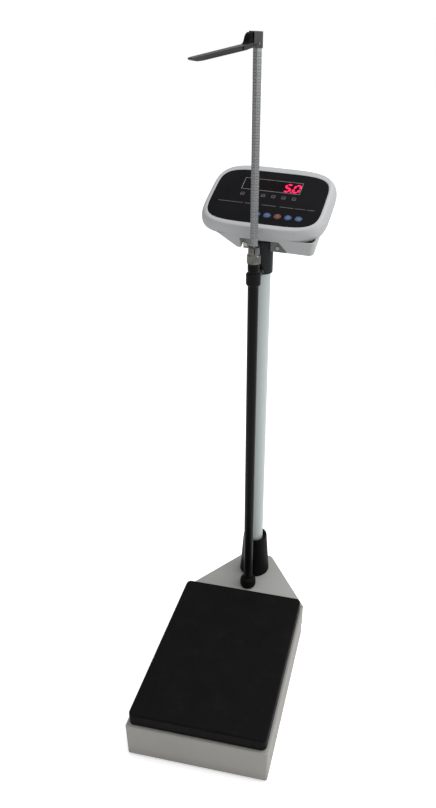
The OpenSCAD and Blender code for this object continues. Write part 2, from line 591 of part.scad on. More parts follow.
module rear_shell() color("gainsboro") on_panel() difference() {
    union() {
        translate([0, face_up, -rim_depth - 2.6]) linear_extrude(2.5) polygon(bowed(rim_hw - 0.6, rim_hh - 0.6, 4.2));
        difference() {
            back_box(0);
            difference() {
                back_box(shell);
                channel(5);
            }
        }
    }
    translate([0, 0, -rim_depth - 5]) linear_extrude(6) polygon([[-70, -78], [84, -78], [98, -66], [104, -50], [104, 73], [-70, 73]]);
    channel(0);
    block([cover_u[0], cover_w[0], -60], [cover_u[1], cover_w[1], -40]);
    for (x = [-45, 46]) translate([x, tilt_w, -tilt_depth]) rotate([0, 90, 0])
        cylinder(r = 4 + run, h = 13);
    translate([-14, 60, -35]) rotate([-90, 0, 0]) cylinder(r = 5.6, h = 40);
    for (p = case_posts) translate([p.x, p.y, -60]) cylinder(r = 1.8, h = 60);
}
module battery() color("dimgray") on_panel() block([69, -52, -49.8], [97, 32, -30]);
module battery_cover() color("gainsboro") on_panel()
    block([cover_u[0] + 0.3, cover_w[0] + 0.3, -back_depth], [cover_u[1] - 0.3, cover_w[1] - 0.3, -back_depth + 2.2]);
module charging_socket() color("black") on_panel() translate([-14, 62, -35]) rotate([-90, 0, 0]) difference() {
    cylinder(r = 5.5, h = 16.5);
    translate([0, 0, 6]) cylinder(r = 2.8, h = 12);
}
module case_screws() color("silver") on_panel() for (p = case_posts)
    translate([p.x, p.y, -rim_depth - 2.6]) rotate([180, 0, 0]) {
        translate([0, 0, -14]) cylinder(r = 1.45, h = 14);
        cylinder(r = 2.8, h = 1.8);
    }

base_frame();
column_pedestal();
tray();
rear_extension();
foot_pad(-frame_x, -frame_y);  // foot_pad_fl
foot_pad(frame_x, -frame_y);  // foot_pad_fr
foot_pad(-frame_x, frame_y);  // foot_pad_rl
foot_pad(frame_x, frame_y);  // foot_pad_rr
foot_stud(-frame_x, -frame_y);  // foot_stud_fl
foot_stud(frame_x, -frame_y);  // foot_stud_fr
foot_stud(-frame_x, frame_y);  // foot_stud_rl
foot_stud(frame_x, frame_y);  // foot_stud_rr
foot_lock_nuts();
load_cell();
cell_base_spacer();
base_bolts();
overload_stops();
spider_frame();
cell_top_bolts();
platform_pan();
platform_mat();
pillar_boot();
pillar_flange();
pillar_tube();
neck_sleeve();
signal_cable();
cable_connector();
rod_foot_plug();
rod_outer_tube();
rod_clamp();
clamp_arm();
clamp_screws();
collet_chuck();
lock_nut();
guide_bush();
ruler_tube();
ruler_slider();
head_cap();
cap_screw();
lever_pin();
measuring_lever();
head_bracket();
bracket_screws();
tilt_bolts();
front_shell();
rear_shell();
panel_overlay();
display_window();
led_display();
status_lamps();
circuit_board();
battery();
battery_cover();
charging_socket();
case_screws();
key_1();
key_2();
key_3();
key_4();
key_5();
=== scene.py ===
import json
import math

import bmesh
import bpy
from mathutils import Matrix, Vector


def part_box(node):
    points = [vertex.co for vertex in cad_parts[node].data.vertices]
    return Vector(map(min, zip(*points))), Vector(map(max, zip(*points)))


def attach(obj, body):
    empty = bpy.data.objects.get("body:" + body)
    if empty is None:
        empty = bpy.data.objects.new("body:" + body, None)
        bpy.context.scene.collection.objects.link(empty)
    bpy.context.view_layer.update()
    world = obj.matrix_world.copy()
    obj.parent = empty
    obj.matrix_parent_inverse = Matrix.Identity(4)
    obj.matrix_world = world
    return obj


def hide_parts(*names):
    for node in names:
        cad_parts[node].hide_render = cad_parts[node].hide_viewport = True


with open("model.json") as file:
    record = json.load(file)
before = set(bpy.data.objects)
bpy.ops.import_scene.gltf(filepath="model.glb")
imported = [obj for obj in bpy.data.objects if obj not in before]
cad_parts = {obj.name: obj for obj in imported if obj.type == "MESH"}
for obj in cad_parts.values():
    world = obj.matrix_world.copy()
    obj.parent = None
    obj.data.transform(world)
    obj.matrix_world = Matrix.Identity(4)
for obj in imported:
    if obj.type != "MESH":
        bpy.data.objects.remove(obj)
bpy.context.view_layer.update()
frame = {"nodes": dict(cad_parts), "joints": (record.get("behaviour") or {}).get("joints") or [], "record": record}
MM = 0.001
BODY_OF = {n: b for b, ns in frame["record"]["behaviour"]["bodies"].items() for n in ns}
SLOT_OF = {s["node"]: s["material_slot"] for s in frame["record"]["subparts"]}


# ------------------------------------------------------------------ materials
def map_range(tree, value, from_low, from_high, to_low, to_high):
    """A clamped linear map of a value."""
    node = tree.nodes.new("ShaderNodeMapRange")
    node.inputs["From Min"].default_value = from_low
    node.inputs["From Max"].default_value = from_high
    node.inputs["To Min"].default_value = to_low
    node.inputs["To Max"].default_value = to_high
    tree.links.new(value, node.inputs["Value"])
    return node.outputs["Result"]


def colour_ramp(tree, value, low_at, low_colour, high_at, high_colour):
    node = tree.nodes.new("ShaderNodeValToRGB")
    first, last = node.color_ramp.elements
    first.position, first.color = low_at, low_colour
    last.position, last.color = high_at, high_colour
    tree.links.new(value, node.inputs["Fac"])
    return node.outputs["Color"]


def mixed(tree, amount, base, colour):
    """The base colour with an amount of another colour over it."""
    node = tree.nodes.new("ShaderNodeMix")
    node.data_type = "RGBA"
    tree.links.new(amount, node.inputs["Factor"])
    tree.links.new(base, node.inputs["A"])
    node.inputs["B"].default_value = (*colour, 1)
    return node.outputs["Result"]


def material(name, colour, rough, metallic=0.0, specular=0.5, tone=0.05, tone_scale=14.0, rough_var=0.06,
             grain=1200.0, bump=0.1, bump_mm=0.1, stretch=(1, 1, 1), second=None, second_scale=30.0,
             second_amount=0.0, floor_dust=0.0, emission=None):
    """Colour that varies over the surface, uneven gloss and a fine surface relief, all procedural."""
    m = bpy.data.materials.new(name)
    m.use_nodes = True
    tree = m.node_tree
    bsdf = tree.nodes["Principled BSDF"]
    coord = tree.nodes.new("ShaderNodeTexCoord")
    mapping = tree.nodes.new("ShaderNodeMapping")
    mapping.inputs["Scale"].default_value = stretch
    tree.links.new(coord.outputs["Object"], mapping.inputs["Vector"])

    def noise(scale, detail, roughness=0.5):
        node = tree.nodes.new("ShaderNodeTexNoise")
        node.inputs["Scale"].default_value = scale
        node.inputs["Detail"].default_value = detail
        node.inputs["Roughness"].default_value = roughness
        tree.links.new(mapping.outputs["Vector"], node.inputs["Vector"])
        return node.outputs["Fac"]

    # colour: a broad change of tone, spots of a second colour, and dust near the floor
    broad = noise(tone_scale, 4.0)
    darker = [max(0.0, c * (1 - 2 * tone)) for c in colour] + [1.0]
    lighter = [min(1.0, c * (1 + 2 * tone)) for c in colour] + [1.0]
    shown = colour_ramp(tree, broad, 0.3, darker, 0.7, lighter)
    if second:
        strength = [second_amount] * 3 + [1.0]
        spots = colour_ramp(tree, noise(second_scale, 6.0, 0.65), 0.52, (0, 0, 0, 1), 0.75, strength)
        shown = mixed(tree, spots, shown, second)
    if floor_dust:
        split = tree.nodes.new("ShaderNodeSeparateXYZ")
        tree.links.new(coord.outputs["Object"], split.inputs["Vector"])
        dust = map_range(tree, split.outputs["Z"], 0.004, 0.03, floor_dust, 0.0)
        shown = mixed(tree, dust, shown, (0.16, 0.14, 0.12))
    tree.links.new(shown, bsdf.inputs["Base Color"])

    # gloss that follows the tone, and a fine relief
    gloss = map_range(tree, broad, 0.3, 0.7, max(0.02, rough - rough_var), min(1.0, rough + rough_var))
    tree.links.new(gloss, bsdf.inputs["Roughness"])
    relief = tree.nodes.new("ShaderNodeBump")
    relief.inputs["Strength"].default_value = bump
    relief.inputs["Distance"].default_value = bump_mm * MM
    tree.links.new(noise(grain, 2.0), relief.inputs["Height"])
    tree.links.new(relief.outputs["Normal"], bsdf.inputs["Normal"])

    bsdf.inputs["Metallic"].default_value = metallic
    bsdf.inputs["Specular IOR Level"].default_value = specular
    if emission:
        glow, strength = emission
        bsdf.inputs["Emission Color"].default_value = (*glow, 1)
        bsdf.inputs["Emission Strength"].default_value = strength
    return m


M = {
    "cover": material("powder_coat_grey", (0.27, 0.262, 0.243), 0.5, tone=0.025, tone_scale=6, grain=700,
                      bump=0.22, bump_mm=0.12, rough_var=0.05, second=(0.25, 0.24, 0.21), second_scale=22,
                      second_amount=0.16, floor_dust=0.3, specular=0.3),
    "plate": material("powder_coat_plate", (0.3, 0.3, 0.287), 0.48, tone=0.035, tone_scale=7, grain=700,
                      bump=0.22, bump_mm=0.12, rough_var=0.05, second=(0.26, 0.255, 0.235), second_scale=18,
                      second_amount=0.25, specular=0.3),
    "mat": material("mat_rubber", (0.003, 0.003, 0.0033), 0.6, tone=0.15, tone_scale=18, grain=1500,
                    bump=0.5, bump_mm=0.25, rough_var=0.08, second=(0.011, 0.0105, 0.0095), second_scale=26,
                    second_amount=0.3, specular=0.06),
    "black": material("black_moulding", (0.0068, 0.007, 0.0072), 0.4, tone=0.1, grain=1600, bump=0.25,
                      bump_mm=0.08, rough_var=0.06, second=(0.014, 0.014, 0.014), second_scale=40,
                      second_amount=0.2, specular=0.07),
    "boot": material("boot_rubber", (0.0032, 0.0033, 0.0034), 0.45, tone=0.12, grain=1400, bump=0.3,
                     bump_mm=0.1, rough_var=0.06, second=(0.012, 0.012, 0.011), second_scale=35,
                     second_amount=0.25, specular=0.05),
    "neck": material("neck_moulding", (0.0175, 0.0195, 0.0215), 0.4, tone=0.08, grain=1600, bump=0.2,
                     bump_mm=0.08, rough_var=0.06, specular=0.1),
    "gloss": material("gloss_black_moulding", (0.0035, 0.0035, 0.0038), 0.27, tone=0.12, grain=1500,
                      bump=0.12, bump_mm=0.06, rough_var=0.07, specular=0.62),
    "lever": material("lever_moulding", (0.003, 0.003, 0.0033), 0.33, tone=0.12, grain=1500, bump=0.12,
                      bump_mm=0.06, rough_var=0.07, specular=0.4),
    "dark_zinc": material("blackened_zinc", (0.13, 0.13, 0.126), 0.38, metallic=0.8, tone=0.1,
                          tone_scale=120, grain=900, bump=0.15, bump_mm=0.05, rough_var=0.08),
    "rod": material("black_enamel", (0.0038, 0.0038, 0.0042), 0.3, tone=0.1, grain=500, bump=0.08,
                    bump_mm=0.06, rough_var=0.07, stretch=(1, 1, 0.3), specular=0.1),
    "pillar": material("pillar_coat", (0.43, 0.475, 0.47), 0.36, tone=0.02, tone_scale=7, grain=800,
                       bump=0.12, bump_mm=0.08, rough_var=0.05, stretch=(1, 1, 0.35),
                       second=(0.36, 0.39, 0.385), second_scale=18, second_amount=0.25, specular=0.3),
    "housing": material("housing_abs", (0.37, 0.38, 0.385), 0.42, tone=0.02, tone_scale=9, grain=1400,
                        bump=0.2, bump_mm=0.07, rough_var=0.05, second=(0.335, 0.335, 0.315),
                        second_scale=25, second_amount=0.22, specular=0.35),
    "bracket": material("bracket_paint", (0.17, 0.178, 0.172), 0.45, tone=0.05, grain=700, bump=0.2,
                        bump_mm=0.1, second=(0.07, 0.07, 0.07), second_amount=0.3, specular=0.25),
    # a paler copy of the bracket paint, used as painted light on the front flange's lit left part
    "wing_painted_light": material("bracket_painted_light", (0.29, 0.29, 0.265), 0.45, tone=0.05, grain=700, bump=0.2,
                     bump_mm=0.1, second=(0.17, 0.16, 0.13), second_amount=0.3, specular=0.25),
    # near-black paint used as painted shade: the shadow gap along the bracket flange's top edge
    "shade": material("bracket_edge_painted_shade", (0.006, 0.006, 0.006), 0.6, tone=0.1, grain=700, bump=0.2,
                      bump_mm=0.1, specular=0.05),
    "overlay": material("overlay_film", (0.0046, 0.0046, 0.0062), 0.34, tone=0.08, tone_scale=20,
                        grain=2500, bump=0.06, bump_mm=0.04, rough_var=0.08, specular=0.035),
    "window": material("window_tint", (0.0044, 0.0026, 0.003), 0.2, tone=0.1, grain=900, bump=0.02,
                       bump_mm=0.03, rough_var=0.04, specular=0.045),
    # the brownish second colour laid in spots is painted reflection: it stands in for brownish room reflections in
    # the chrome
    "chrome": material("collet_chrome", (0.145, 0.14, 0.13), 0.22, metallic=1.0, tone=0.14, tone_scale=70,
                       grain=300, bump=0.05, bump_mm=0.05, rough_var=0.08, second=(0.075, 0.06, 0.05),
                       second_scale=110, second_amount=0.6),
    "zinc": material("zinc_plate", (0.42, 0.42, 0.40), 0.34, metallic=1.0, tone=0.08, tone_scale=120,
                     grain=900, bump=0.15, bump_mm=0.06, rough_var=0.1, second=(0.3, 0.28, 0.22),
                     second_amount=0.3),
    "ruler": material("ruler_anodised", (0.25, 0.26, 0.265), 0.33, metallic=0.8, tone=0.05, tone_scale=30,
                      grain=1800, bump=0.2, bump_mm=0.05, rough_var=0.06, stretch=(1, 1, 0.04)),
    "cell": material("machined_aluminium", (0.62, 0.62, 0.61), 0.3, metallic=1.0, tone=0.05, grain=1400,
                     bump=0.3, bump_mm=0.06, stretch=(1, 0.05, 1)),
    "frame": material("frame_paint", (0.012, 0.012, 0.012), 0.5, tone=0.15, grain=500, bump=0.3,
                      bump_mm=0.15, second=(0.04, 0.033, 0.03), second_amount=0.4, specular=0.2),
    "foot": material("foot_rubber", (0.009, 0.009, 0.009), 0.7, tone=0.15, grain=1300, bump=0.5,
                     bump_mm=0.2, second=(0.04, 0.036, 0.03), second_amount=0.35, specular=0.1),
    "print": material("print_light", (0.16, 0.16, 0.165), 0.5, tone=0.05, grain=1500, bump=0.1,
                      bump_mm=0.03),
    "print_dim": material("print_dim", (0.1, 0.1, 0.105), 0.5, tone=0.2, tone_scale=160, grain=1500,
                          bump=0.1, bump_mm=0.03),
    "ink": material("ruler_ink", (0.045, 0.045, 0.047), 0.45, tone=0.1, grain=1500, bump=0.1, bump_mm=0.02,
                    specular=0.2),
    "blue": material("key_blue", (0.015, 0.046, 0.14), 0.36, tone=0.06, tone_scale=90, grain=1800,
                     bump=0.12, bump_mm=0.04, specular=0.25),
    "blue_centre": material("key_blue_centre", (0.045, 0.085, 0.17), 0.4, tone=0.1, tone_scale=220,
                            grain=1800, bump=0.12, bump_mm=0.04, specular=0.25),
    "orange": material("key_orange", (0.115, 0.026, 0.015), 0.36, tone=0.06, tone_scale=90, grain=1800,
                       bump=0.12, bump_mm=0.04, specular=0.25),
    "orange_centre": material("key_orange_centre", (0.085, 0.036, 0.026), 0.4, tone=0.1, tone_scale=220,
                              grain=1800, bump=0.12, bump_mm=0.04, specular=0.25),
    "lit": material("segment_lit", (0.5, 0.01, 0.05), 0.5, tone=0.03, grain=1500, bump=0.05, bump_mm=0.03,
                    emission=((1.0, 0.01, 0.095), 1.1), specular=0.1),
    "unlit": material("segment_unlit", (0.0036, 0.0023, 0.0026), 0.25, tone=0.1, grain=1500, bump=0.05,
                      bump_mm=0.03, specular=0.03),
    "lamp": material("lamp_lens", (0.11, 0.035, 0.035), 0.25, tone=0.1, grain=1500, bump=0.05, bump_mm=0.03,
                     specular=0.3),
    "board": material("board_mask", (0.008, 0.09, 0.03), 0.35, tone=0.1, tone_scale=60, grain=400,
                      bump=0.15, bump_mm=0.05, second=(0.02, 0.16, 0.06), second_scale=160,
                      second_amount=0.5),
    "module": material("module_plastic", (0.02, 0.02, 0.022), 0.5, tone=0.1, grain=900, bump=0.15,
                       bump_mm=0.06),
    "cable": material("cable_sheath", (0.03, 0.03, 0.032), 0.5, tone=0.1, grain=900, bump=0.25,
                      bump_mm=0.08),
}
FINISH = {"frame_steel": "frame", "cover_steel": "cover", "pillar_steel": "pillar", "rod_steel": "rod",
          "bracket_steel": "bracket", "zinc_steel": "zinc", "cell_aluminium": "cell",
          "ruler_aluminium": "ruler", "collet_chrome": "chrome", "foot_rubber": "foot",
          "mat_rubber": "mat", "black_plastic": "black", "housing_plastic": "housing",
          "overlay_plastic": "overlay", "window_plastic": "window", "module_plastic": "module",
          "lamp_plastic": "lamp", "board_laminate": "board", "blue_key": "blue", "orange_key": "orange",
          "cable_sheath": "cable"}


# ------------------------------------------------------------------ mesh building
def finish_mesh(name, mesh, mats, node=None, body=None, slot=None, angle=35):
    """The mesh as a shaded object that replaces a CAD node, or rides on a body as an extra piece."""
    for key in mats if isinstance(mats, list) else [mats]:
        mesh.materials.append(M[key])
    mesh.shade_smooth()
    mesh.set_sharp_from_angle(angle=math.radians(angle))
    raw = bpy.data.objects.new("raw", mesh)
    bpy.context.scene.collection.objects.link(raw)
    mod = raw.modifiers.new("flat faces stay flat", "WEIGHTED_NORMAL")
    mod.keep_sharp = True
    done = bpy.data.meshes.new_from_object(raw.evaluated_get(bpy.context.evaluated_depsgraph_get()))
    bpy.data.objects.remove(raw)
    done.name = name
    ob = bpy.data.objects.new(name, done)
    bpy.context.scene.collection.objects.link(ob)
    if node:
        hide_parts(node)
    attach(ob, body or BODY_OF[node])
    return ob


def joined(verts, faces):
    """A bmesh of the points and faces, without faces that would repeat."""
    bm = bmesh.new()
    vs = [bm.verts.new(v) for v in verts]
    for f in faces:
        try:
            bm.faces.new([vs[i] for i in f])
        except ValueError:
            pass
    return bm


def mesh_from(bm, name):
    bmesh.ops.recalc_face_normals(bm, faces=bm.faces)
    mesh = bpy.data.meshes.new(name)
    bm.to_mesh(mesh)
    bm.free()
    return mesh


def mesh_of(name, verts, faces):
    return mesh_from(joined(verts, faces), name)


def loft(loops, ring=False, cap_start=False, cap_end=False):
    """Points and faces of a skin over closed loops that all have the same number of points."""
    n = len(loops[0])
    verts = [p for loop in loops for p in loop]
    faces = []
    rows = len(loops)
    for i in range(rows if ring else rows - 1):
        a, b = i * n, ((i + 1) % rows) * n
        faces += [[a + k, a + (k + 1) % n, b + (k + 1) % n, b + k] for k in range(n)]
    if cap_start:
        faces.append(list(range(n - 1, -1, -1)))
    if cap_end:
        faces.append([(rows - 1) * n + k for k in range(n)])
    return verts, faces


def lathe(name, profile, x, y, mats, node, segments=96, closed=True, **kw):
    """A turned piece. The profile is (radius, height) in mm, and the axis stands at x, y in metres."""
    loops = []
    for r, z in profile:
        loops.append([(x + max(r, 0.01) * MM * math.cos(2 * math.pi * k / segments),
                       y + max(r, 0.01) * MM * math.sin(2 * math.pi * k / segments), z * MM)
                      for k in range(segments)])
    v, f = loft(loops, ring=closed, cap_start=not closed, cap_end=not closed)
    return finish_mesh(name, mesh_of(name, v, f), mats, node, **kw)


def refine(node, bevel=0.5, segments=2, mats=None, smooth=38, cut=None):
    """The CAD piece again, with its flat faces merged, its edges rounded and one optional colour break."""
    src = frame["nodes"][node].data
    bm = joined([v.co for v in src.vertices], [p.vertices for p in src.polygons])
    bmesh.ops.remove_doubles(bm, verts=bm.verts, dist=2e-6)
    bmesh.ops.dissolve_limit(bm, angle_limit=math.radians(1.2), verts=bm.verts, edges=bm.edges)
    if cut:
        everything = bm.verts[:] + bm.edges[:] + bm.faces[:]
        bmesh.ops.bisect_plane(bm, geom=everything, plane_co=cut[0], plane_no=cut[1])
    ob = bpy.data.objects.new("tmp", mesh_from(bm, node + "_fine"))
    bpy.context.scene.collection.objects.link(ob)
    mod = ob.modifiers.new("edges", "BEVEL")
    mod.width, mod.segments = bevel * MM, segments
    mod.limit_method, mod.angle_limit = "ANGLE", math.radians(32)
    mod.miter_outer = "MITER_ARC"
    mod.use_clamp_overlap = True
    done = bpy.data.meshes.new_from_object(ob.evaluated_get(bpy.context.evaluated_depsgraph_get()))
    bpy.data.objects.remove(ob)
    return finish_mesh(node + "_fine", done, mats or FINISH[SLOT_OF[node]], node, angle=smooth)


def rounded_rect(w, d, r, z, steps=8):
    """A rectangle with round corners round the Z axis, in mm, as points in metres."""
    pts = []
    for q, (sx, sy) in enumerate(((1, 1), (-1, 1), (-1, -1), (1, -1))):
        for i in range(steps + 1):
            a = math.radians(90 * q + 90 * i / steps)
            pts.append(((sx * (w / 2 - r) + r * math.cos(a)) * MM,
                        (sy * (d / 2 - r) + r * math.sin(a)) * MM, z * MM))
    return pts


def centre(node):
    lo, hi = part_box(node)
    return (lo + hi) / 2


def low(node):
    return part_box(node)[0].z / MM


def high(node):
    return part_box(node)[1].z / MM


# ------------------------------------------------------------------ base tray, rear extension and mat
def outline_of(node):
    """Width, depth, lowest and highest point of a node, in mm."""
    lo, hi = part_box(node)
    return (hi.x - lo.x) / MM, (hi.y - lo.y) / MM, lo.z / MM, hi.z / MM


def cut_away(mesh, middle, size):
    """The mesh without what lies in a box, given by its middle and its size in metres."""
    cutter = bpy.data.meshes.new("cutter")
    bm = bmesh.new()
    bmesh.ops.create_cube(bm, size=1.0, matrix=Matrix.Translation(middle) @ Matrix.Diagonal((*size, 1)))
    bm.to_mesh(cutter)
    bm.free()
    whole = bpy.data.objects.new("whole", mesh)
    tool = bpy.data.objects.new("tool", cutter)
    for ob in (whole, tool):
        bpy.context.scene.collection.objects.link(ob)
    mod = whole.modifiers.new("cut", "BOOLEAN")
    mod.object, mod.operation, mod.solver = tool, "DIFFERENCE", "EXACT"
    bpy.context.view_layer.update()
    cut = bpy.data.meshes.new_from_object(whole.evaluated_get(bpy.context.evaluated_depsgraph_get()))
    for ob in (whole, tool):
        bpy.data.objects.remove(ob)
    return cut


def tray():
    """Folded sheet with a rounded top edge, open at the back where the extension enters."""
    width, depth, z0, z1 = outline_of("tray")
    sheet, corner, notch_w, notch_top = 1.5, 5, 88, 76
    section = [(0.25, z0), (0, z0 + 0.3), (0, z1 - 2.8), (0.2, z1 - 1.75), (0.75, z1 - 0.8), (1.6, z1 - 0.2),
               (2.8, z1), (17.6, z1), (18, z1 - 0.3), (18, z1 - sheet), (3.0, z1 - sheet),
               (2.2, z1 - sheet - 0.2), (1.6, z1 - sheet - 1), (sheet, z1 - 4), (sheet, z0 + 0.3),
               (sheet - 0.25, z0)]
    loops = [rounded_rect(width - 2 * o, depth - 2 * o, max(corner - o, 3.4), z) for o, z in section]
    shell = mesh_of("tray_shell", *loft(loops, ring=True))
    notch_middle = (0, depth / 2 * MM, (z0 + notch_top) / 2 * MM - 0.01)
    notch_size = (notch_w * MM, 0.01, (notch_top - z0) * MM + 0.02)
    finish_mesh("tray_shell", cut_away(shell, notch_middle, notch_size), "cover", "tray")


def mat():
    """Thick moulding with a rolled edge and shallow lengthwise ribs on its top sheet."""
    width, depth, z0, z1 = outline_of("platform_mat")
    section = [(3, z0), (0.5, z0), (0, z0 + 0.6), (0, z1 - 5.2), (0.25, z1 - 3.6), (0.9, z1 - 2.1),
               (2.0, z1 - 0.95), (3.4, z1 - 0.35), (5.0, z1 - 0.12), (9.0, z1 - 0.1)]
    loops = [rounded_rect(width - 6, depth - 6, 8, z1 - 4.5), rounded_rect(width - 6, depth - 6, 8, z0)]
    loops += [rounded_rect(width - 2 * o, depth - 2 * o, max(11 - o, 3), z) for o, z in section]
    v, f = loft(loops, cap_start=True)
    rim_start = len(v) - len(loops[-1])
    f.append(list(range(rim_start, len(v))))

    half_w, half_d, pitch, rib_depth = width / 2 - 13, depth / 2 - 13, 4.0, 0.14
    ribs = int(2 * half_w / pitch)
    for i in range(ribs):
        x = -ribs * pitch / 2 + (i + 0.5) * pitch
        n = len(v)
        for dx, dz, inset in ((-1.5, -rib_depth, 0), (-0.95, 0, 1), (0.95, 0, 1), (1.5, -rib_depth, 0)):
            v.append(((x + dx) * MM, (inset - half_d) * MM, (z1 + dz) * MM))
            v.append(((x + dx) * MM, (half_d - inset) * MM, (z1 + dz) * MM))
        f += [[n, n + 2, n + 3, n + 1], [n + 2, n + 4, n + 5, n + 3], [n + 4, n + 6, n + 7, n + 5],
              [n, n + 6, n + 4, n + 2], [n + 1, n + 3, n + 5, n + 7], [n, n + 1, n + 7, n + 6]]
    finish_mesh("mat_moulding", mesh_of("mat_moulding", v, f), "mat", "platform_mat", angle=32)


tray()
refine("rear_extension", 0.7, 3, mats="plate")
mat()


# ------------------------------------------------------------------ column
column = centre("pillar_tube")


def pillar_boot():
    zb, zt = low("pillar_boot"), high("pillar_boot")
    section = [(36.8, zb), (37.4, zb + 0.7), (37.1, zb + 5), (29.62, zt - 4), (29.45, zt - 1.8),
               (29.0, zt - 0.7), (28.2, zt - 0.05), (26.4, zt), (25.6, zt - 0.5), (20.6, zt - 5.2),
               (19.8, zt - 6.4), (19.6, zt - 7.4), (19.6, zt - 13), (26.6, zt - 18), (34, zb + 0.2)]
    lathe("boot_moulding", section, column.x, column.y, "boot", "pillar_boot")


def pillar_tube():
    zb, zt = low("pillar_tube"), high("pillar_tube")
    section = [(18.6, zb), (19, zb + 0.4), (19, zb + 300), (19, zb + 600), (19, zt - 0.5), (18.6, zt),
               (17.9, zt), (17.5, zt - 0.4), (17.5, zb + 0.4), (17.9, zb)]
    lathe("pillar_fine", section, column.x, column.y, "pillar", "pillar_tube")


def neck_sleeve():
    zb, zt, tube_top = low("neck_sleeve"), high("neck_sleeve"), high("pillar_tube")
    section = [(19.06, zb + 0.6), (19.6, zb), (22.1, zb), (22.8, zb + 0.35), (23, zb + 1.2), (23, zt - 1.6),
               (22.75, zt - 0.6), (22, zt - 0.1), (15.7, zt), (15.09, zt - 0.5), (15.09, tube_top + 0.4),
               (19.06, tube_top + 0.3)]
    lathe("neck_moulding", section, column.x, column.y, "neck", "neck_sleeve")


pillar_boot()
pillar_tube()
refine("pillar_flange", 0.5)
neck_sleeve()


# ------------------------------------------------------------------ height rod
rod = centre("rod_outer_tube")


def rod_foot():
    z = low("rod_foot_plug")
    section = [(0, 0), (15.4, 0), (17.2, 0.8), (18.7, 2.6), (19.4, 4.8), (19.5, 6.3), (19.2, 6.9),
               (18.5, 7.5), (19.2, 8.1), (19.5, 8.7), (19.5, 17), (19.2, 19.7), (18.5, 22), (17.2, 24),
               (15.3, 26), (13, 27.4), (11.6, 28.1), (11.06, 27.9), (11.06, 3), (9.4, 3), (9.4, 15), (0, 15)]
    lathe("rod_foot_moulding", [(r, z + h) for r, h in section], rod.x, rod.y, "boot", "rod_foot_plug",
          closed=False)


def rod_tube():
    """The tube, with four rolled rings at its top end."""
    zb, zt = low("rod_outer_tube"), high("rod_outer_tube")
    section = [(11, zb), (11, zt - 15.5)]
    for k in range(4):
        ring = zt - 15 + 4 * k
        section += [(11.1, ring - 0.1), (11.75, ring + 0.35), (11.9, ring + 0.8), (11.9, ring + 1.6),
                    (11.75, ring + 2.05), (11.1, ring + 2.4)]
    section += [(11, zt - 0.4), (10.6, zt), (9.8, zt), (9.5, zt - 0.3), (9.5, zb)]
    lathe("rod_tube_fine", section, rod.x, rod.y, "rod", "rod_outer_tube")


def rod_clamp():
    zb, zt = low("rod_clamp"), high("rod_clamp")
    section = [(11.06, zb + 0.3), (11.4, zb), (12.4, zb), (12.9, zb + 0.4), (14.5, zb + 2.8),
               (14.8, zb + 3.6), (14.8, zt - 3.6), (14.5, zt - 2.8), (12.9, zt - 0.4), (12.4, zt),
               (11.4, zt), (11.06, zt - 0.3)]
    lathe("rod_clamp_fine", section, rod.x, rod.y, "black", "rod_clamp")


rod_foot()
rod_tube()
rod_clamp()
refine("clamp_arm", 0.5)
refine("clamp_screws", 0.35, mats="dark_zinc")
refine("collet_chuck", 0.25)
refine("lock_nut", 0.35)


# ------------------------------------------------------------------ ruler tube and its graduations
turn = Matrix.Translation((rod.x, rod.y, 0)) @ Matrix.Rotation(math.radians(-31.7), 4, "Z")
RULER_W = 11.0
SEGMENTS = {"a": ((-1, 1), (1, 1)), "b": ((1, 1), (1, 0)), "c": ((1, 0), (1, -1)), "d": ((-1, -1), (1, -1)),
            "e": ((-1, 0), (-1, -1)), "f": ((-1, 1), (-1, 0)), "g": ((-1, 0), (1, 0))}
DIGITS = ["abcdef", "bc", "abged", "abgcd", "fgbc", "afgcd", "afgedc", "abc", "abcdefg", "abcdfg"]


def bar(v, f, place, a, b, half, lift=0.04):
    """A thin printed stroke from a to b, with pointed ends, laid on a face by place(x, y, lift)."""
    a, b = Vector(a), Vector(b)
    d = (b - a).normalized()
    side = Vector((-d.y, d.x)) * half
    pts = [a, a + d * half + side, b - d * half + side, b, b - d * half - side, a + d * half - side]
    n = len(v)
    v += [place(p.x, p.y, 0.0) for p in pts] + [place(p.x, p.y, lift) for p in pts]
    f.append([n + 6 + k for k in range(6)])
    f += [[n + k, n + (k + 1) % 6, n + 6 + (k + 1) % 6, n + 6 + k] for k in range(6)]


def stroke(v, f, place, x0, x1, y0, y1, lift=0.04):
    """A printed rectangle."""
    n = len(v)
    for h in (0.0, lift):
        v += [place(x0, y0, h), place(x1, y0, h), place(x1, y1, h), place(x0, y1, h)]
    f += [[n + 4, n + 5, n + 6, n + 7], [n, n + 1, n + 5, n + 4], [n + 1, n + 2, n + 6, n + 5],
          [n + 2, n + 3, n + 7, n + 6], [n + 3, n, n + 4, n + 7]]


def number(v, f, place, text, x, y, w, h, half):
    """Printed digits of width w and height h, the first one centred at x, y."""
    for i, ch in enumerate(text):
        for s in DIGITS[int(ch)]:
            ends = [(x + i * w * 1.6 + px * w / 2, y + py * h / 2) for px, py in SEGMENTS[s]]
            bar(v, f, place, ends[0], ends[1], half)


def on_left(x, y, lift):
    return tuple(turn @ Vector((x * MM, -(RULER_W / 2 + lift) * MM, y * MM)))


def on_right(x, y, lift):
    return tuple(turn @ Vector(((RULER_W / 2 + lift) * MM, x * MM, y * MM)))


def ruler_tube():
    zb, zt, wall = low("ruler_tube"), high("ruler_tube"), 1.2
    loops = []
    for w, r, z in ((RULER_W, 0.9, zb), (RULER_W, 0.9, zt), (RULER_W - 2 * wall, 0.5, zt),
                    (RULER_W - 2 * wall, 0.5, zb)):
        loops.append([tuple(turn @ Vector(p)) for p in rounded_rect(w, w, r, z, steps=5)])
    finish_mesh("ruler_profile", mesh_of("ruler_profile", *loft(loops, ring=True)), "ruler", "ruler_tube")


